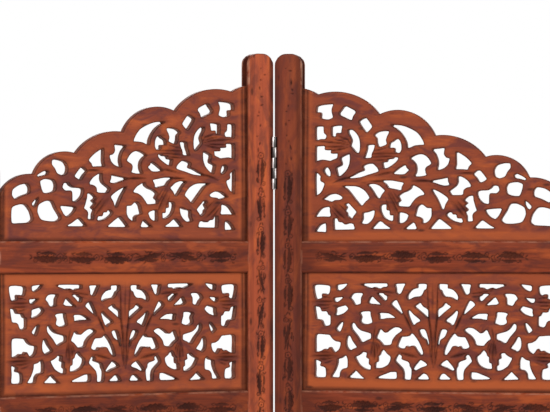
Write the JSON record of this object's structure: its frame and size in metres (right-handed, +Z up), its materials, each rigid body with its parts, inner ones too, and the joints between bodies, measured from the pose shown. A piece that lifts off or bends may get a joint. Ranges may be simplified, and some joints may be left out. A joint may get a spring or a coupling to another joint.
{
  "type": "jali folding screen",
  "caption": "Folding wooden screen in two hinged panels, with rows of pierced jali fretwork between carved posts and rails under a scalloped arched crest",
  "frame": {"origin": "on the floor, under the middle of the screen's box as it stands half open", "axes": "+Z up, the two panels meet towards +Y and their carved faces look towards -Y, the right panel lies on +X"},
  "size_m": [0.8832, 0.1792, 1.676],
  "materials": {
    "frame_wood": "oiled reddish brown, darker in the carving",
    "jali_wood": "oiled reddish brown, darker in the carving",
    "hinge_steel": "bright zinc"
  },
  "bodies": {
    "left_panel": {"left_inner_post": "frame_wood", "left_outer_post": "frame_wood", "left_rail_1": "frame_wood", "left_rail_2": "frame_wood", "left_rail_3": "frame_wood", "left_rail_4": "frame_wood", "left_rail_5": "frame_wood", "left_rail_6": "frame_wood", "left_rail_7": "frame_wood", "left_row_jali_1": "jali_wood", "left_row_jali_2": "jali_wood", "left_row_jali_3": "jali_wood", "left_row_jali_4": "jali_wood", "left_row_jali_5": "jali_wood", "left_row_jali_6": "jali_wood", "left_crest_jali": "jali_wood", "left_hinge_leaves": "hinge_steel"},
    "right_panel": {"right_inner_post": "frame_wood", "right_outer_post": "frame_wood", "right_rail_1": "frame_wood", "right_rail_2": "frame_wood", "right_rail_3": "frame_wood", "right_rail_4": "frame_wood", "right_rail_5": "frame_wood", "right_rail_6": "frame_wood", "right_rail_7": "frame_wood", "right_row_jali_1": "jali_wood", "right_row_jali_2": "jali_wood", "right_row_jali_3": "jali_wood", "right_row_jali_4": "jali_wood", "right_row_jali_5": "jali_wood", "right_row_jali_6": "jali_wood", "right_crest_jali": "jali_wood", "right_hinge_leaves": "hinge_steel"}
  },
  "joints": [
    {"name": "panel_fold", "type": "hinge", "parent": "left_panel", "child": "right_panel", "pos_m": [0, 0.06632, 0.8], "axis": [0, 0, 1], "range_deg": [-139, 39.5]}
  ]
}
